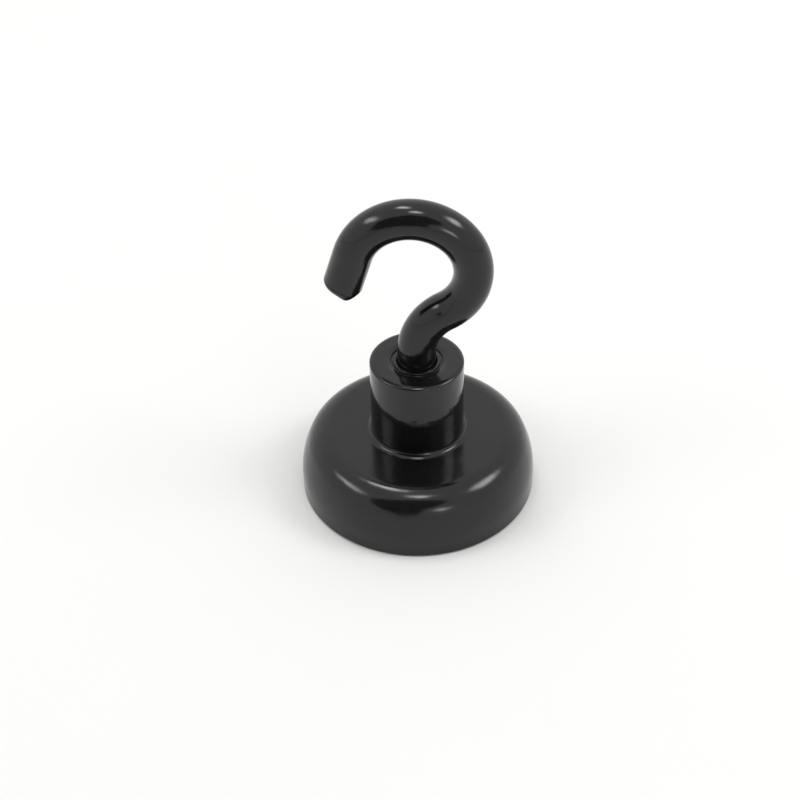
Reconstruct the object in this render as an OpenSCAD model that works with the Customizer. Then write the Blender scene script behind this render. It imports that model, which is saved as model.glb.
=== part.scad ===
// Pot magnet with a screw-in open hook.
// Origin: centre of the pot's holding face. +Z runs up the pot's axis, out through the hook.
// At rest the hook lies in the XZ plane, with its free end towards -X.
// Sizes are in millimetres and include the coat of paint.

/* [Pot] */
// Outside diameter of the pot
pot_d = 25; // [24:0.5:40]
// Height of the pot
pot_h = 7.1; // [6.8:0.1:9]
// Diameter of the flat top inside the shoulder
flat_d = 18.3; // [17:0.1:18.5]
// Radius of the shoulder's rounding
shoulder_r = 2.8; // [2:0.1:2.9]
// Steepness at which the shoulder gives way to the slacker curve of the side
shoulder_end_angle = 25; // [20:1:30]
// Thickness of the pot's side wall
pot_wall = 1.6; // [1.5:0.1:2.5]
// Thickness of the pot's top
pot_top_t = 2.6; // [2.3:0.1:3]

/* [Boss] */
// Outside diameter of the threaded boss
boss_d = 9.8; // [9:0.1:12]
// Height of the boss above the pot
boss_h = 9.15; // [9:0.05:14]
// Rounding of the boss's top edge
boss_edge_r = 0.25; // [0.1:0.05:0.6]
// Fillet between the boss's side and the pot
boss_foot_r = 0.6; // [0.2:0.05:0.8]
// Diameter of the mouth where the hook goes in
mouth_d = 4.9; // [4.8:0.1:6]
// Outside diameter of the spigot that is flared over inside the pot
spigot_d = 6; // [5.6:0.1:6.4]
// Diameter of the flared end of the spigot
flare_d = 7.4; // [7:0.1:8]

/* [Magnet] */
// Diameter of the magnet disc
magnet_d = 20.8; // [16:0.1:21]
// How far the magnet's face is set back from the pot's rim
magnet_recess = 0.15; // [0.05:0.05:0.4]
// Thickness of the resin between the magnet and the pot's top
resin_t = 0.15; // [0.1:0.05:0.3]

/* [Thread] */
// Pitch of the thread, 0.7 for M4
thread_pitch = 0.7; // [0.5:0.1:0.7]
// Number of thread turns on the hook's shank
thread_turns = 10; // [6:1:10]
// Radial clearance between the shank and the boss
thread_clear = 0.06; // [0.03:0.01:0.08]

/* [Hook] */
// Diameter of the coated wire
wire_d = 4.05; // [3.8:0.05:4.1]
// Straight shank between the boss's top and the neck's bend
shank_show = 1.05; // [0.2:0.05:1.4]
// Centre-line radius of the neck's bend
neck_r = 6.2; // [6:0.1:8]
// Angle through which the neck bends away from the axis
neck_angle = 58.5; // [52:0.1:60]
// Centre-line radius of the eye on its closed side
eye_side_r = 5.75; // [5.5:0.05:7]
// Angle of the eye's closed side
eye_side_angle = 101.5; // [95:0.1:105]
// Centre-line radius of the eye over its crown
eye_crown_r = 6.15; // [5.8:0.05:7]
// Angle of the eye's crown
eye_crown_angle = 119.8; // [110:0.1:125]
// Length of the straight free end
tip_l = 4.3; // [2:0.1:5]
// Rounding of the free end's edge
tip_edge_r = 0.5; // [0.2:0.05:1]

/* [Hidden] */
$fn = 96;

pot_r = pot_d / 2;
cavity_r = pot_r - pot_wall;
cavity_z = pot_h - pot_top_t;
flat_r = flat_d / 2;
// The side's curve starts where the shoulder's ends and comes out upright at the pot's radius.
shoulder_end_r = flat_r + shoulder_r * cos(shoulder_end_angle);
shoulder_end_z = pot_h - shoulder_r * (1 - sin(shoulder_end_angle));
side_curve_r = (pot_r - shoulder_end_r) / (1 - cos(shoulder_end_angle));
side_curve_z = shoulder_end_z - side_curve_r * sin(shoulder_end_angle);
boss_r = boss_d / 2;
boss_z = pot_h + boss_h;
spigot_r = spigot_d / 2;
// The flare is a 45 degree cone, so it is as deep as it is wide.
flare_h = (flare_d - spigot_d) / 2;

// Thread: closed rings, one a pitch, so the hook turns in the boss without rising.
thread_depth = 0.6 * thread_pitch;
crest_w = thread_pitch / 8;
flank_w = (thread_pitch - 2 * crest_w) / 2;
wire_r = wire_d / 2;
// The hook's rings reach out to the wire's radius. The boss's are one clearance further out.
shank_root_r = wire_r - thread_depth;
bore_root_r = wire_r + thread_clear;
bore_crest_r = shank_root_r + thread_clear;
mouth_r = mouth_d / 2;
mouth_depth = mouth_r - bore_root_r;
// Depth of the first ring below the boss's top
thread_below_top = 1.3;
// Short neck between the thread and the plain shank
relief_h = 0.2;
// Plain end below the thread
lead_h = 0.4;
thread_top_z = boss_z - thread_below_top;
thread_bottom_z = thread_top_z - thread_turns * thread_pitch;
// The boss is tapped one pitch deeper than the hook reaches.
tap_bottom_z = thread_bottom_z - thread_pitch;

neck_z = boss_z + shank_show;
// Lengths of wire overlap by a lap, and each is a step slimmer in radius than the one before.
lap = 0.05;
lap_step = 0.005;

// Outline of rings from z_low upwards, one a pitch, between the radii r_in and r_out.
function ring_points(r_in, r_out, turns, z_low) =
    [for (i = [0 : turns - 1])
        let (z = z_low + i * thread_pitch)
        each [
            [r_in, z],
            [r_in, z + crest_w],
            [r_out, z + crest_w + flank_w],
            [r_out, z + 2 * crest_w + flank_w]]];

// Points on an arc about [x, z], from one angle to another.
function arc(x, z, r, from, to, steps) =
    [for (i = [0 : steps])
        let (a = from + (to - from) * i / steps)
        [x + r * cos(a), z + r * sin(a)]];

// Half outline of the pot's outside: upright foot, side curve, shoulder and flat top.
function pot_outline() = concat(
    [[0, 0], [pot_r, 0]],
    arc(pot_r - side_curve_r, side_curve_z, side_curve_r, 0, shoulder_end_angle, 10),
    arc(flat_r, pot_h - shoulder_r, shoulder_r, shoulder_end_angle + 5, 90, 13),
    [[0, pot_h]]);

module steel_pot() {
    color([0.03, 0.03, 0.032])
        difference() {
            rotate_extrude() polygon(pot_outline());
            // Room for the magnet
            translate([0, 0, -1]) cylinder(r = cavity_r, h = cavity_z + 1);
            // Hole for the boss's spigot
            translate([0, 0, cavity_z - 1]) cylinder(r = spigot_r, h = pot_top_t + 2);
            // Seat for the flared end
            translate([0, 0, cavity_z]) cylinder(r1 = flare_d / 2, r2 = spigot_r, h = flare_h);
        }
}

// Half outline of the boss without its bore, from the flare up to the rounded top edge.
function boss_outline() = concat(
    [[0, cavity_z], [flare_d / 2, cavity_z], [spigot_r, cavity_z + flare_h], [spigot_r, pot_h]],
    arc(boss_r + boss_foot_r, pot_h + boss_foot_r, boss_foot_r, 270, 180, 6),
    arc(boss_r - boss_edge_r, boss_z - boss_edge_r, boss_edge_r, 0, 90, 6),
    [[0, boss_z]]);

// Half outline of what is cut from the boss: a plain bore through the spigot, the thread,
// and a plain length that opens into the mouth.
function bore_outline() = concat(
    [[0, cavity_z - 1], [bore_root_r, cavity_z - 1], [bore_root_r, tap_bottom_z]],
    ring_points(bore_crest_r, bore_root_r, thread_turns + 1, tap_bottom_z),
    [[bore_crest_r, thread_top_z], [bore_root_r, thread_top_z]],
    [[bore_root_r, boss_z - mouth_depth], [mouth_r, boss_z], [mouth_r, boss_z + 1], [0, boss_z + 1]]);

module threaded_boss() {
    color([0.03, 0.03, 0.032])
        difference() {
            rotate_extrude() polygon(boss_outline());
            rotate_extrude() polygon(bore_outline());
        }
}

module magnet_disc() {
    color([0.75, 0.75, 0.77])
        translate([0, 0, magnet_recess])
            cylinder(d = magnet_d, h = cavity_z - resin_t - magnet_recess);
}

module potting_resin() {
    color([0.06, 0.06, 0.06])
        difference() {
            translate([0, 0, magnet_recess]) cylinder(r = cavity_r, h = cavity_z - magnet_recess);
            translate([0, 0, -1]) cylinder(d = magnet_d, h = cavity_z - resin_t + 1);
        }
}

// One bend of the wire, from the origin and up +Z, towards +X, or towards -X with side = -1.
// It starts a lap early, inside the length before it, and is that many steps slimmer.
module wire_bend(r, angle, side, steps) {
    lap_angle = lap / r * 180 / PI;
    translate([side * r, 0, 0])
        rotate([90, 0, 0])
            rotate([0, 0, side > 0 ? 180 - angle : -lap_angle])
                rotate_extrude(angle = angle + lap_angle)
                    translate([r, 0]) circle(r = wire_r - steps * lap_step);
}

// Its children stand at the end of a bend that starts at the origin and up +Z.
module after_bend(r, angle, side) {
    translate([side * r * (1 - cos(angle)), 0, r * sin(angle)])
        rotate([0, side * angle, 0])
            children();
}

// Half outline of the shank: plain end, thread, relief and the plain length up to the neck.
function shank_outline() = concat(
    [[0, thread_bottom_z - lead_h], [shank_root_r, thread_bottom_z - lead_h]],
    ring_points(shank_root_r, wire_r, thread_turns, thread_bottom_z),
    [[shank_root_r, thread_top_z], [shank_root_r, thread_top_z + relief_h]],
    [[wire_r, thread_top_z + relief_h], [wire_r, neck_z], [0, neck_z]]);

// Half outline of the straight free end, with a rounded edge.
function tip_outline(r) = concat(
    [[0, -lap], [r, -lap]],
    arc(r - tip_edge_r, tip_l - tip_edge_r, tip_edge_r, 0, 90, 6),
    [[0, tip_l]]);

module hook() {
    color([0.03, 0.03, 0.032])
        union() {
            rotate_extrude() polygon(shank_outline());
            // Neck, closed side of the eye, crown and free end, each on the end of the one before
            translate([0, 0, neck_z]) {
                wire_bend(neck_r, neck_angle, 1, 1);
                after_bend(neck_r, neck_angle, 1) {
                    wire_bend(eye_side_r, eye_side_angle, -1, 2);
                    after_bend(eye_side_r, eye_side_angle, -1) {
                        wire_bend(eye_crown_r, eye_crown_angle, -1, 3);
                        after_bend(eye_crown_r, eye_crown_angle, -1)
                            rotate_extrude() polygon(tip_outline(wire_r - 4 * lap_step));
                    }
                }
            }
        }
}

steel_pot();
threaded_boss();
magnet_disc();
potting_resin();
hook();
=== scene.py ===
import math

import bpy
from mathutils import Matrix, Vector


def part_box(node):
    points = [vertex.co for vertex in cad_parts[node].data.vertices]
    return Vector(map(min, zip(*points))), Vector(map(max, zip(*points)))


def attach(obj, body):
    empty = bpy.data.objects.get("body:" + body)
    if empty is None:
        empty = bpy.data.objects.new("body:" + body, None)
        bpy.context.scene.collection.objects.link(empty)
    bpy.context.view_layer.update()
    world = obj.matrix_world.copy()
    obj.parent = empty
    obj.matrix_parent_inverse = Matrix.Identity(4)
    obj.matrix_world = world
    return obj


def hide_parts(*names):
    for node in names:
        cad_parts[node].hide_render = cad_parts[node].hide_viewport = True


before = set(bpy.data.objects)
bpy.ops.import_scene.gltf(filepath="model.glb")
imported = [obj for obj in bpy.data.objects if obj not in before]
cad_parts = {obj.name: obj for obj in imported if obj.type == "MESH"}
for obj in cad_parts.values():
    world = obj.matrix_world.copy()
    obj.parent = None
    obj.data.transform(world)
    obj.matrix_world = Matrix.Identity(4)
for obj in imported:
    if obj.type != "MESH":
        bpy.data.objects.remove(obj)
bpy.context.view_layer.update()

# A pot magnet with a screw-in hook, all painted gloss black but for its holding face.
# Shapes are worked out in millimetres, in the CAD model's frame, and made into meshes in metres.
# Angles are in degrees.
MM = 0.001


def box_mm(node):
    """Lowest and highest corner of a CAD node, in millimetres."""
    low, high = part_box(node)
    return low / MM, high / MM


# ---------------------------------------------------------------- sizes

pot_high = box_mm("steel_pot")[1]
boss_high = box_mm("threaded_boss")[1]
magnet_low, magnet_high = box_mm("magnet_disc")
resin_low, resin_high = box_mm("potting_resin")
hook_low, hook_high = box_mm("hook")

# Points round a turned piece, and round the wire
SIDES = 256
WIRE_SIDES = 96
# A row of points this far from a rounding keeps its shading off the plain face beside it.
EDGE_ROW = 0.1

# Pot. What the CAD model's boxes can't give is repeated here, as in the groups below.
POT_R = pot_high.x
POT_H = pot_high.z
CAVITY_R = resin_high.x
CAVITY_Z = resin_high.z
FLAT_R = 9.15
SHOULDER_R = 2.8
SHOULDER_END = 25
RIM_OUTER_R = 0.3
RIM_INNER_R = 0.2

# Boss: the fillet at its foot, whose edge is sunk a little into the pot, the spigot, and the top
# edge, a tight rounding under a slack crown
FOOT_R = 0.6
FOOT_SINK = 0.004
BOSS_R = boss_high.x - FOOT_R
BOSS_Z = boss_high.z
BOSS_EDGE_R = 0.25
BOSS_CROWN_R = 0.7
BOSS_CROWN_TILT = 35
SPIGOT_R = 3.0
FLARE_R = 3.7
SEAT_Z = CAVITY_Z + FLARE_R - SPIGOT_R

# Mouth of the boss: a dish that falls to a groove, and a lip inside the groove
DISH_OUTER_R = 3.45
DISH_CURVE_R = 2.2
GROOVE_OUTER_R = 2.74
GROOVE_INNER_R = 2.46
GROOVE_DEPTH = 0.3
GROOVE_LEAN = 0.05
GROOVE_CORNER_W = 0.03
GROOVE_CORNER_H = 0.02
LIP_OUTER_R = 2.48
LIP_OUTER_EDGE_R = 0.06
LIP_INNER_R = 2.07
LIP_INNER_EDGE_R = 0.12
LIP_DROP = 0.06

# Magnet, and the hollow skin of the resin round it
MAGNET_R = magnet_high.x
MAGNET_FACE_Z = magnet_low.z
MAGNET_TOP_Z = magnet_high.z
MAGNET_EDGE_R = 0.25
RESIN_FACE_Z = resin_low.z
MENISCUS_FOOT = 0.08
MENISCUS = 0.12
MENISCUS_STEPS = 12

# Thread, drawn as closed rings
PITCH = 0.7
THREAD_TURNS = 10
THREAD_DEPTH = 0.6 * PITCH
CREST_W = PITCH / 8
FLANK_W = PITCH / 2 - CREST_W
THREAD_BELOW_TOP = 1.3
THREAD_CLEAR = 0.06
THREAD_TOP_Z = BOSS_Z - THREAD_BELOW_TOP
THREAD_LOW_Z = THREAD_TOP_Z - THREAD_TURNS * PITCH
RELIEF_H = 0.15
RELIEF_SLOPE_H = 0.2

# Wire, a little thinner than the CAD model's shank, so that the crown stays inside the CAD's box
WIRE_R = hook_high.y - 0.02
WIRE_ROOT_R = WIRE_R - THREAD_DEPTH
SHANK_END_Z = hook_low.z
SHANK_END_R = 0.6 * WIRE_ROOT_R
SHANK_CHAMFER = 0.15
NECK_Z = BOSS_Z + 1.05
# Each bend: its radius, its angle, and which way it turns
BENDS = ((6.2, 58.5, 1), (5.75, 101.5, -1), (6.15, 119.8, -1))
BEND_STEP = 1.5
TIP_L = 4.3
TIP_EDGE_R = 0.8
# Rings along the straight tip. The last one stands 0.1 past the start of the end's rounding.
TIP_RING_STEP = 0.4
TIP_RINGS = 10
TIP_END_RINGS = 8
# The drop of paint that set on the tip's rim: where it sits, how wide it is and how far it hangs
DRIP_TURN = 245
DRIP_BACK = 0.2
DRIP_INSET = 0.3
DRIP_SIZE = 0.8
DRIP_H = 0.4


# ---------------------------------------------------------------- mesh making

def arc(x, z, r, start, end, step):
    """Points on an arc about (x, z), from one angle to another, at most a step apart."""
    count = max(2, math.ceil(abs(end - start) / step))
    angles = [math.radians(start + (end - start) * i / count) for i in range(count + 1)]
    return [(x + r * math.cos(a), z + r * math.sin(a)) for a in angles]


def ring(centre, across, along, radius, count):
    """Points round a circle whose plane holds the unit vectors across and along."""
    angles = [2 * math.pi * i / count for i in range(count)]
    return [centre + radius * (across * math.cos(a) + along * math.sin(a)) for a in angles]


def make_piece(name, verts, faces, sharp):
    """A mesh object from points in millimetres, smooth but for edges sharper than an angle."""
    mesh = bpy.data.meshes.new(name)
    mesh.from_pydata([Vector(v) * MM for v in verts], [], faces)
    mesh.validate()
    mesh.shade_smooth()
    mesh.set_sharp_from_angle(angle=math.radians(sharp))
    piece = bpy.data.objects.new(name, mesh)
    bpy.context.scene.collection.objects.link(piece)
    return piece


def loft(name, rings, sharp, joined=False):
    """A closed mesh through rings of points. A ring of one point is where the mesh closes.
    With joined the last ring runs back into the first."""
    verts, starts = [], []
    for points in rings:
        starts.append(len(verts))
        verts.extend(points)
    pairs = list(zip(range(len(rings)), range(1, len(rings))))
    if joined:
        pairs.append((len(rings) - 1, 0))
    faces = []
    for a, b in pairs:
        count = max(len(rings[a]), len(rings[b]))
        for i in range(count):
            j = (i + 1) % count
            if len(rings[a]) == 1:
                faces.append((starts[a], starts[b] + j, starts[b] + i))
            elif len(rings[b]) == 1:
                faces.append((starts[a] + i, starts[a] + j, starts[b]))
            else:
                faces.append((starts[a] + i, starts[a] + j, starts[b] + j, starts[b] + i))
    return make_piece(name, verts, faces, sharp)


def lathe(name, outline, sharp=40):
    """A solid of revolution from a half outline of (radius, height), with the solid to its left.
    An outline that starts and ends on the axis closes there, and any other is a closed loop."""
    on_axis = 1e-6
    across, along = Vector((1, 0, 0)), Vector((0, 1, 0))
    rings = []
    for r, z in outline:
        centre = Vector((0, 0, z))
        rings.append([centre] if r < on_axis else ring(centre, across, along, r, SIDES))
    return loft(name, rings, sharp, joined=outline[0][0] > on_axis)


def thread_rings(r_in, r_out, z_low, turns):
    """Outline of closed thread rings from z_low upwards, one a pitch."""
    points = []
    for i in range(turns):
        z = z_low + i * PITCH
        points += [(r_in, z), (r_in, z + CREST_W)]
        points += [(r_out, z + CREST_W + FLANK_W), (r_out, z + 2 * CREST_W + FLANK_W)]
    return points


# ---------------------------------------------------------------- pieces

def make_pot():
    """Drawn cup: flat top, shoulder, slack side curve, rounded rim, and a cavity with a seat."""
    shoulder_z = POT_H - SHOULDER_R
    end = math.radians(SHOULDER_END)
    side_r = (POT_R - FLAT_R - SHOULDER_R * math.cos(end)) / (1 - math.cos(end))
    side_z = shoulder_z + (SHOULDER_R - side_r) * math.sin(end)
    rim_inner = CAVITY_R + RIM_INNER_R
    rim_outer = POT_R - RIM_OUTER_R
    outline = [(CAVITY_R, RIM_INNER_R)]
    outline += arc(rim_inner, RIM_INNER_R, RIM_INNER_R, 180, 270, 15)[1:]
    outline += [(rim_inner + EDGE_ROW, 0), (rim_outer - EDGE_ROW, 0)]
    outline += arc(rim_outer, RIM_OUTER_R, RIM_OUTER_R, -90, 0, 10)
    outline += [(POT_R, RIM_OUTER_R + EDGE_ROW), (POT_R, side_z - EDGE_ROW)]
    outline += arc(POT_R - side_r, side_z, side_r, 0, SHOULDER_END, 1.5)
    outline += arc(FLAT_R, shoulder_z, SHOULDER_R, SHOULDER_END, 90, 2)[1:]
    outline += [(FLAT_R - EDGE_ROW, POT_H), (BOSS_R + FOOT_R, POT_H), (SPIGOT_R, POT_H)]
    outline += [(SPIGOT_R, SEAT_Z), (FLARE_R, CAVITY_Z), (CAVITY_R, CAVITY_Z)]
    return lathe("pot_shell", outline)


def boss_side():
    """Outline of the boss from the flared end of its spigot up to the flat of its top."""
    tilt = math.radians(BOSS_CROWN_TILT)
    edge_r = BOSS_R - BOSS_EDGE_R
    edge_z = BOSS_Z - BOSS_CROWN_R + (BOSS_CROWN_R - BOSS_EDGE_R) * math.cos(tilt)
    crown_r = edge_r + (BOSS_EDGE_R - BOSS_CROWN_R) * math.sin(tilt)
    crown_z = BOSS_Z - BOSS_CROWN_R
    edge_end = 90 - BOSS_CROWN_TILT
    outline = [(FLARE_R, CAVITY_Z), (SPIGOT_R, SEAT_Z), (SPIGOT_R, POT_H)]
    outline += [(BOSS_R + FOOT_R, POT_H - FOOT_SINK)]
    outline += arc(BOSS_R + FOOT_R, POT_H + FOOT_R, FOOT_R, 270, 180, 6)
    outline += [(BOSS_R, POT_H + FOOT_R + EDGE_ROW), (BOSS_R, edge_z - EDGE_ROW)]
    outline += arc(edge_r, edge_z, BOSS_EDGE_R, 0, edge_end, 6)
    outline += arc(crown_r, crown_z, BOSS_CROWN_R, edge_end, 90, 2)[1:]
    return outline + [(crown_r - EDGE_ROW, BOSS_Z)]


def boss_mouth():
    """Outline of the boss's mouth, inwards: the dish, the groove, the lip and the bore below it."""
    dish_end = 90 + math.degrees(math.asin((DISH_OUTER_R - GROOVE_OUTER_R) / DISH_CURVE_R))
    groove_z = BOSS_Z - GROOVE_DEPTH
    corner_z = groove_z + GROOVE_CORNER_H
    outer_foot = GROOVE_OUTER_R - GROOVE_LEAN
    inner_foot = GROOVE_INNER_R + GROOVE_CORNER_W
    lip_z = BOSS_Z - LIP_DROP
    lip_outer = LIP_OUTER_R - LIP_OUTER_EDGE_R
    lip_inner = LIP_INNER_R + LIP_INNER_EDGE_R
    outline = arc(DISH_OUTER_R, BOSS_Z - DISH_CURVE_R, DISH_CURVE_R, 90, dish_end, 1)
    outline += [(outer_foot, corner_z), (outer_foot - GROOVE_CORNER_W, groove_z)]
    outline += [(inner_foot + GROOVE_CORNER_W, groove_z), (inner_foot, corner_z)]
    outline += arc(lip_outer, lip_z - LIP_OUTER_EDGE_R, LIP_OUTER_EDGE_R, 0, 80, 15)
    outline += arc(lip_inner, lip_z - LIP_INNER_EDGE_R, LIP_INNER_EDGE_R, 90, 180, 10)
    return outline + [(LIP_INNER_R, lip_z - 2 * EDGE_ROW), (LIP_INNER_R, THREAD_TOP_Z + 2 * EDGE_ROW)]


def make_boss():
    """Turned bush: flared spigot, painted fillet, rounded top edge, lipped mouth and thread."""
    bore_root_r = WIRE_R + THREAD_CLEAR
    bore_crest_r = WIRE_ROOT_R + THREAD_CLEAR
    tap_low_z = THREAD_LOW_Z - PITCH
    outline = boss_side() + boss_mouth() + [(bore_crest_r, THREAD_TOP_Z)]
    outline += reversed(thread_rings(bore_crest_r, bore_root_r, tap_low_z, THREAD_TURNS + 1))
    outline += [(bore_root_r, tap_low_z - EDGE_ROW), (bore_root_r, CAVITY_Z)]
    return lathe("boss_bush", outline, 35)


def make_magnet():
    """Plated disc with rounded edges."""
    edge_r = MAGNET_R - MAGNET_EDGE_R
    flat_r = edge_r - 2 * EDGE_ROW
    outline = [(0, MAGNET_FACE_Z), (flat_r, MAGNET_FACE_Z)]
    outline += arc(edge_r, MAGNET_FACE_Z + MAGNET_EDGE_R, MAGNET_EDGE_R, -90, 0, 10)
    outline += arc(edge_r, MAGNET_TOP_Z - MAGNET_EDGE_R, MAGNET_EDGE_R, 0, 90, 10)
    outline += [(flat_r, MAGNET_TOP_Z), (0, MAGNET_TOP_Z)]
    return lathe("magnet_core", outline)


def make_resin():
    """Adhesive round and over the magnet, with a hollow meniscus in the gap at the face."""
    outline = [(0, MAGNET_TOP_Z), (MAGNET_R, MAGNET_TOP_Z), (MAGNET_R, RESIN_FACE_Z + MAGNET_EDGE_R)]
    for i in range(1, MENISCUS_STEPS):
        t = i / MENISCUS_STEPS
        r = MAGNET_R + (CAVITY_R - MAGNET_R) * t
        outline.append((r, RESIN_FACE_Z + MENISCUS_FOOT + MENISCUS * math.sin(math.pi * t)))
    outline += [(CAVITY_R, RESIN_FACE_Z), (CAVITY_R, CAVITY_Z), (0, CAVITY_Z)]
    return lathe("resin_ring", outline)


def hook_line():
    """Stations (x, z, heading) along the bends, and the one where the straight tip starts.
    A heading is an angle from +Z towards +X."""
    x, z, heading = 0.0, NECK_Z, 0.0
    stations = []
    for radius, angle, side in BENDS:
        count = math.ceil(angle / BEND_STEP)
        turn = side * angle / count
        chord = 2 * radius * math.sin(math.radians(abs(turn)) / 2)
        for _ in range(count):
            stations.append((x, z, heading))
            mid = math.radians(heading + turn / 2)
            x, z = x + chord * math.sin(mid), z + chord * math.cos(mid)
            heading += turn
    return stations, (x, z, heading)


def wire_ring(x, z, heading, radius, count=WIRE_SIDES):
    """Ring of points across the wire. The wire's plane is XZ."""
    h = math.radians(heading)
    across = Vector((math.cos(h), 0, -math.sin(h)))
    return ring(Vector((x, 0, z)), across, Vector((0, 1, 0)), radius, count)


def shank_rings():
    """Rings up the hook's shank: chamfered end, thread, relief and the plain length."""
    relief_z = THREAD_TOP_Z + RELIEF_H
    plain_z = relief_z + RELIEF_SLOPE_H
    outline = [(SHANK_END_R, SHANK_END_Z), (WIRE_ROOT_R - SHANK_CHAMFER, SHANK_END_Z)]
    outline += [(WIRE_ROOT_R, SHANK_END_Z + SHANK_CHAMFER)]
    outline += thread_rings(WIRE_ROOT_R, WIRE_R, THREAD_LOW_Z, THREAD_TURNS)
    outline += [(WIRE_ROOT_R, THREAD_TOP_Z), (WIRE_ROOT_R, relief_z), (WIRE_R, plain_z)]
    outline += [(WIRE_R, plain_z + EDGE_ROW), (WIRE_R, NECK_Z - 2 * EDGE_ROW)]
    return [[Vector((0, 0, SHANK_END_Z))]] + [wire_ring(0, z, 0, r) for r, z in outline]


def tip_rings(x, z, heading):
    """Rings along the straight tip and over its rounded end, drawn out at the drop of paint."""
    h = math.radians(heading)
    ahead = Vector((math.sin(h), 0, math.cos(h)))
    start = Vector((x, 0, z))
    flat_r = WIRE_R - TIP_EDGE_R
    outline = [(TIP_RING_STEP * i, WIRE_R) for i in range(TIP_RINGS)]
    outline += [(TIP_L - depth, r) for r, depth in arc(flat_r, TIP_EDGE_R, TIP_EDGE_R, 0, -90, 7)]
    outline += [(TIP_L, flat_r * k / TIP_END_RINGS) for k in reversed(range(TIP_END_RINGS))]
    on_rim = wire_ring(0, 0, heading, WIRE_R - DRIP_INSET, 360)[DRIP_TURN]
    drip = start + ahead * (TIP_L - DRIP_BACK) + on_rim
    rings = []
    for along, r in outline:
        centre = start + ahead * along
        points = wire_ring(centre.x, centre.z, heading, r) if r > 0 else [centre]
        hangs = [DRIP_H * math.exp(-((point - drip).length / DRIP_SIZE) ** 2) for point in points]
        rings.append([point + ahead * hang for point, hang in zip(points, hangs)])
    return rings


def make_hook():
    """One swept wire: threaded shank, S-shaped neck, eye and a square-cut free end."""
    stations, tip_start = hook_line()
    rings = shank_rings() + [wire_ring(*station, WIRE_R) for station in stations]
    return loft("hook_wire", rings + tip_rings(*tip_start), 35)


pot = make_pot()
boss = make_boss()
magnet = make_magnet()
resin = make_resin()
hook = make_hook()

for piece, node, body, slot in (
        (pot, "steel_pot", "magnet_base", "black_coat"),
        (boss, "threaded_boss", "magnet_base", "black_coat"),
        (magnet, "magnet_disc", "magnet_base", "nickel_plate"),
        (resin, "potting_resin", "magnet_base", "potting"),
        (hook, "hook", "hook", "black_coat")):
    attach(piece, body)
    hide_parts(node)


# ---------------------------------------------------------------- materials

COAT_IOR = 1.45
COAT_DARK = (0.0044, 0.0044, 0.0046)
COAT_PALE = (0.0058, 0.0057, 0.0055)
BARE_STEEL = (0.42, 0.41, 0.40)
NICKEL_DULL = (0.55, 0.53, 0.49)
NICKEL_BRIGHT = (0.66, 0.64, 0.60)
RESIN_DARK = (0.012, 0.012, 0.013)
RESIN_PALE = (0.028, 0.027, 0.026)


class Nodes:
    """Shorthand for a material's node tree."""

    def __init__(self, name):
        self.material = bpy.data.materials.new(name)
        self.material.use_nodes = True
        self.tree = self.material.node_tree
        self.shader = self.tree.nodes["Principled BSDF"]
        self.position = self.add("TexCoord").outputs["Object"]

    def add(self, kind, **settings):
        """A new shader node of a kind, with its settings."""
        node = self.tree.nodes.new("ShaderNode" + kind)
        for key, value in settings.items():
            setattr(node, key, value)
        return node

    def link(self, source, target):
        """Joins an output to an input, in place of whatever was joined to it."""
        self.tree.links.new(source, target)

    def drive(self, key, source):
        """Joins an output to one of the shader's inputs."""
        self.link(source, self.shader.inputs[key])

    def noise(self, size_mm, detail=2.0, rough=0.5, vector=None):
        """Noise whose features are about size_mm across."""
        node = self.add("TexNoise")
        node.inputs["Scale"].default_value = 1 / (size_mm * MM)
        node.inputs["Detail"].default_value = detail
        node.inputs["Roughness"].default_value = rough
        self.link(vector or self.position, node.inputs["Vector"])
        return node.outputs["Fac"]

    def spread(self, value, low, high, to_low, to_high):
        """Maps low..high onto to_low..to_high and holds the ends."""
        node = self.add("MapRange")
        keys = ("From Min", "From Max", "To Min", "To Max")
        for key, number in zip(keys, (low, high, to_low, to_high)):
            node.inputs[key].default_value = number
        self.link(value, node.inputs["Value"])
        return node.outputs["Result"]

    def vary(self, noise, to_low, to_high):
        """Noise drawn out to the whole way between two values."""
        return self.spread(noise, 0.3, 0.7, to_low, to_high)

    def mix_colour(self, factor, a, b):
        """From colour a at factor 0 to colour b at factor 1."""
        node = self.add("Mix", data_type="RGBA")
        node.inputs["A"].default_value = (*a, 1)
        node.inputs["B"].default_value = (*b, 1)
        self.link(factor, node.inputs["Factor"])
        return node.outputs["Result"]

    def stretched(self, turn, along):
        """Coordinates turned about Z, in which a noise is drawn out to so many times its length."""
        node = self.add("Mapping")
        node.inputs["Rotation"].default_value = (0, 0, math.radians(turn))
        node.inputs["Scale"].default_value = (1 / along, 1, 1)
        self.link(self.position, node.inputs["Vector"])
        return node.outputs["Vector"]

    def height(self):
        """Height above the holding face, in metres."""
        node = self.add("SeparateXYZ")
        self.link(self.position, node.inputs["Vector"])
        return node.outputs["Z"]

    def combine(self, operation, a, b):
        """One of Blender's math operations on two outputs."""
        node = self.add("Math", operation=operation)
        self.link(a, node.inputs[0])
        self.link(b, node.inputs[1])
        return node.outputs["Value"]

    def bump(self, height, depth_mm, before=None):
        """Normals of a surface so deep at height 1, on top of another bump."""
        node = self.add("Bump")
        node.inputs["Distance"].default_value = depth_mm * MM
        self.link(height, node.inputs["Height"])
        if before:
            self.link(before, node.inputs["Normal"])
        return node.outputs["Normal"]


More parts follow.
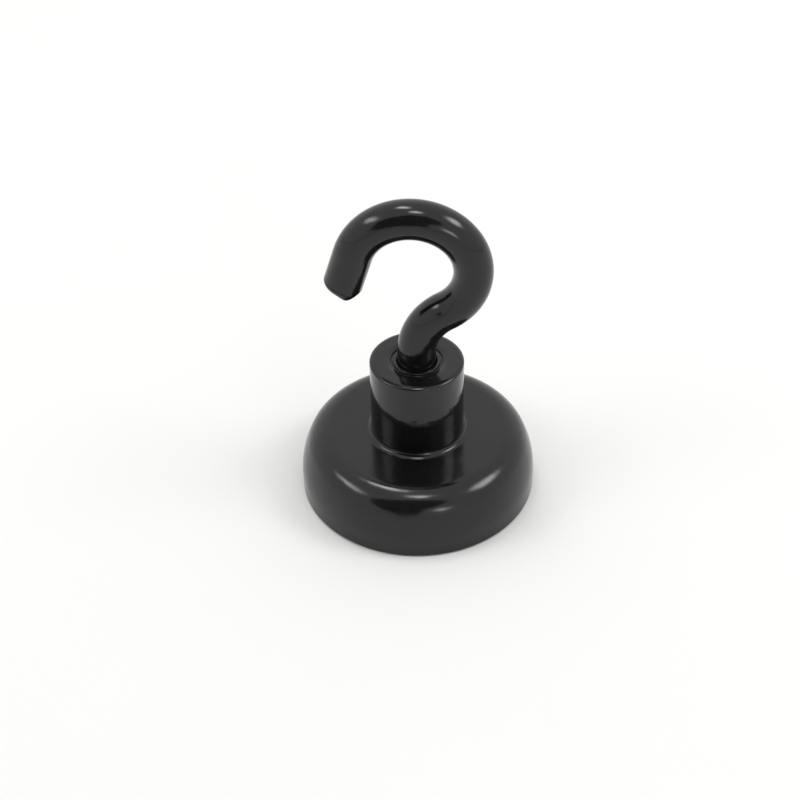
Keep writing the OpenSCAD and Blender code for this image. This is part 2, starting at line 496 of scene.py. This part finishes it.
def coat_nodes(name, glossiest, dullest, waves_mm):
    """Gloss black paint: faint orange peel over slow waves, and a gloss that varies a little."""
    n = Nodes(name)
    n.shader.inputs["IOR"].default_value = COAT_IOR
    tint = n.spread(n.noise(3.0), 0.35, 0.65, 0, 1)
    waves = n.bump(n.noise(1.8, 1), waves_mm)
    ripples = n.bump(n.noise(0.8, 1), waves_mm / 4, waves)
    n.drive("Base Color", n.mix_colour(tint, COAT_DARK, COAT_PALE))
    n.drive("Roughness", n.vary(n.noise(1.6, 4), glossiest, dullest))
    n.drive("Normal", n.bump(n.noise(0.35, 2), 0.001, ripples))
    return n


def pot_coat():
    """The pot's coat, chipped to bare steel in spots along the edge that it stands on."""
    n = coat_nodes("pot_coat", 0.12, 0.18, 0.02)
    edge = n.spread(n.height(), 0.05 * MM, 0.3 * MM, 1, 0)
    spots = n.spread(n.noise(0.7, 3, 0.6), 0.66, 0.70, 0, 1)
    chips = n.combine("MULTIPLY", edge, spots)
    paint = n.shader.inputs["Base Color"].links[0].from_socket
    chipped = n.add("Mix", data_type="RGBA")
    chipped.inputs["B"].default_value = (*BARE_STEEL, 1)
    n.link(chips, chipped.inputs["Factor"])
    n.link(paint, chipped.inputs["A"])
    n.drive("Base Color", chipped.outputs["Result"])
    n.drive("Metallic", chips)
    return n.material


def boss_coat():
    """The boss's coat, the glossiest and the most uneven."""
    return coat_nodes("boss_coat", 0.06, 0.11, 0.035).material


def hook_coat():
    """The hook's coat."""
    return coat_nodes("hook_coat", 0.11, 0.15, 0.025).material


def nickel_plate():
    """Nickel, bloomed and dulled in patches, with two sets of fine sliding scratches."""
    n = Nodes("nickel_plate")
    n.shader.inputs["Metallic"].default_value = 1.0
    fine = n.spread(n.noise(0.22, 1, vector=n.stretched(24, 30)), 0.60, 0.70, 0, 1)
    coarse = n.spread(n.noise(0.30, 1, vector=n.stretched(-52, 24)), 0.62, 0.72, 0, 1)
    scratches = n.combine("MAXIMUM", fine, coarse)
    bloom = n.vary(n.noise(5.0, 4), 0, 1)
    dulled = n.vary(n.noise(2.5, 5, 0.6), 0.16, 0.30)
    grooves = n.bump(n.spread(scratches, 0, 1, 1, 0), 0.008)
    n.drive("Base Color", n.mix_colour(bloom, NICKEL_DULL, NICKEL_BRIGHT))
    n.drive("Roughness", n.combine("MAXIMUM", dulled, n.spread(scratches, 0, 1, 0, 0.55)))
    n.drive("Normal", n.bump(n.noise(0.25, 3), 0.002, grooves))
    return n.material


def potting():
    """Black adhesive, satin, with a slightly lumpy skin."""
    n = Nodes("potting")
    n.drive("Base Color", n.mix_colour(n.noise(1.0, 4), RESIN_DARK, RESIN_PALE))
    n.drive("Roughness", n.vary(n.noise(0.6, 3), 0.32, 0.55))
    n.drive("Normal", n.bump(n.noise(0.5, 3), 0.02))
    return n.material


for piece, material in (
        (pot, pot_coat()),
        (boss, boss_coat()),
        (hook, hook_coat()),
        (magnet, nickel_plate()),
        (resin, potting())):
    piece.data.materials.append(material)


# ---------------------------------------------------------------- studio

LAMP_DISTANCE = 0.6
# The photographer's side of the studio is dark: a card that only reflections show.
# Its corners are azimuths and elevations.
CARD_DISTANCE = 0.45
CARD_OUTLINE = (
    (-38, 44), (-26, 53), (-2, 60), (22, 57), (33, 50), (36, 40), (24, 31), (11, 22),
    (7, 12), (4, 4), (-12, 2), (-26, 5), (-36, 14), (-43, 26), (-44, 36))
CARD_BLACK = (0.1, 0.1, 0.1)
# The floor is a hair below the pot's rim, so that the two don't lie in one plane.
FLOOR_Z = -0.00002
FLOOR_HALF = 3.0
FLOOR_WHITE = (0.74, 0.74, 0.73)
# The floor's and the card's mottle: how much darker its dark parts are, and how wide
MOTTLE_DARK = 0.985
MOTTLE_MM = 40
WORLD_STRENGTH = 0.99


def direction(azimuth, elevation):
    """Unit vector from the object. An azimuth is an angle from the front, -Y, towards +X."""
    a, e = math.radians(azimuth), math.radians(elevation)
    return Vector((math.sin(a) * math.cos(e), -math.cos(a) * math.cos(e), math.sin(e)))


def fade_edges(light):
    """Lets a lamp's face fade from near its middle to its rim, as a diffuser's does."""
    light.use_nodes = True
    tree = light.node_tree
    face = tree.nodes.new("ShaderNodeNewGeometry")
    from_middle = tree.nodes.new("ShaderNodeVectorMath")
    from_middle.operation = "DISTANCE"
    from_middle.inputs[1].default_value = (0.5, 0.5, 0)
    fade = tree.nodes.new("ShaderNodeMapRange")
    fade.interpolation_type = "SMOOTHSTEP"
    fade.inputs["From Min"].default_value = 0.5
    fade.inputs["From Max"].default_value = 0.1
    tree.links.new(face.outputs["Parametric"], from_middle.inputs[0])
    tree.links.new(from_middle.outputs["Value"], fade.inputs["Value"])
    tree.links.new(fade.outputs["Result"], tree.nodes["Emission"].inputs["Strength"])


def softbox(name, azimuth, elevation, width, height, radiance):
    """Lamp of width x height as the object sees it. Radiance 1 is about the surroundings'."""
    light = bpy.data.lights.new(name, "AREA")
    light.shape = "ELLIPSE"
    light.size = 2 * LAMP_DISTANCE * math.tan(math.radians(width / 2))
    light.size_y = 2 * LAMP_DISTANCE * math.tan(math.radians(height / 2))
    area = math.pi / 4 * light.size * light.size_y
    light.energy = radiance * math.pi * area
    fade_edges(light)
    lamp = bpy.data.objects.new(name, light)
    towards = direction(azimuth, elevation)
    lamp.rotation_mode = "QUATERNION"
    lamp.rotation_quaternion = towards.to_track_quat("Z", "Y")
    lamp.location = towards * LAMP_DISTANCE
    lamp.visible_camera = False
    bpy.context.scene.collection.objects.link(lamp)


def plain_material(name, colour):
    """Rough material for the floor and the card, with a barely seen mottle."""
    n = Nodes(name)
    n.shader.inputs["Roughness"].default_value = 0.9
    n.shader.inputs["Specular IOR Level"].default_value = 0.0
    darker = [MOTTLE_DARK * c for c in colour]
    n.drive("Base Color", n.mix_colour(n.noise(MOTTLE_MM), darker, colour))
    return n.material


def stage_sheet(name, corners, material):
    """A flat or folded sheet that belongs to the studio and not to the part."""
    mesh = bpy.data.meshes.new(name)
    mesh.from_pydata(corners, [], [tuple(range(len(corners)))])
    mesh.materials.append(material)
    sheet = bpy.data.objects.new(name, mesh)
    bpy.context.scene.collection.objects.link(sheet)
    return sheet


def make_floor():
    """Square white floor."""
    quarters = ((-1, -1), (1, -1), (1, 1), (-1, 1))
    corners = [(x * FLOOR_HALF, y * FLOOR_HALF, FLOOR_Z) for x, y in quarters]
    stage_sheet("floor", corners, plain_material("floor_white", FLOOR_WHITE))


def make_card():
    """Dark card in front, which the camera itself doesn't see."""
    corners = [direction(*corner) * CARD_DISTANCE for corner in CARD_OUTLINE]
    card = stage_sheet("dark_card", corners, plain_material("card_black", CARD_BLACK))
    card.visible_camera = False


def make_world():
    """White surroundings, and a plain view of them with no tone curve."""
    world = bpy.data.worlds.new("white_studio")
    world.use_nodes = True
    background = world.node_tree.nodes["Background"]
    background.inputs["Color"].default_value = (1, 1, 1, 1)
    background.inputs["Strength"].default_value = WORLD_STRENGTH
    bpy.context.scene.world = world
    bpy.context.scene.view_settings.view_transform = "Standard"


# Each lamp: azimuth, elevation, width, height and radiance
softbox("lamp_left", -76, 40, 42, 17, 6.5)
softbox("lamp_right", 90, 46, 36, 28, 8.5)
softbox("lamp_back", -136, 73, 15, 24, 11.5)
softbox("lamp_top", 7, 76, 18, 16, 11)
softbox("lamp_front", 26, 13.5, 20, 18, 5)
make_floor()
make_card()
make_world()


# ---------------------------------------------------------------- camera

CAMERA_PLACE = Vector((0.0107866, -0.1285296, 0.1185771))
CAMERA_DOWN = 39.88866
CAMERA_TURN = 5.6
CAMERA_ROLL = -1.12881
CAMERA_LENS = 71.844


def make_camera():
    """Looks down at the front, a little from one side, with a slight roll."""
    tilt, turn, roll = map(math.radians, (CAMERA_DOWN, CAMERA_TURN, CAMERA_ROLL))
    ahead = Vector((0, math.cos(tilt), -math.sin(tilt)))
    level_right = Vector((1, 0, 0))
    level_down = ahead.cross(level_right)
    right = math.cos(roll) * level_right - math.sin(roll) * level_down
    down = math.sin(roll) * level_right + math.cos(roll) * level_down
    about_z = Matrix.Rotation(turn, 3, "Z")
    axes = [about_z @ axis for axis in (right, -down, -ahead)]
    data = bpy.data.cameras.new("camera")
    data.sensor_width = 36
    data.lens = CAMERA_LENS
    data.clip_start = 0.01
    data.clip_end = 20
    camera = bpy.data.objects.new("camera", data)
    camera.matrix_world = Matrix.Translation(CAMERA_PLACE) @ Matrix(axes).transposed().to_4x4()
    bpy.context.scene.collection.objects.link(camera)
    bpy.context.scene.camera = camera


make_camera()
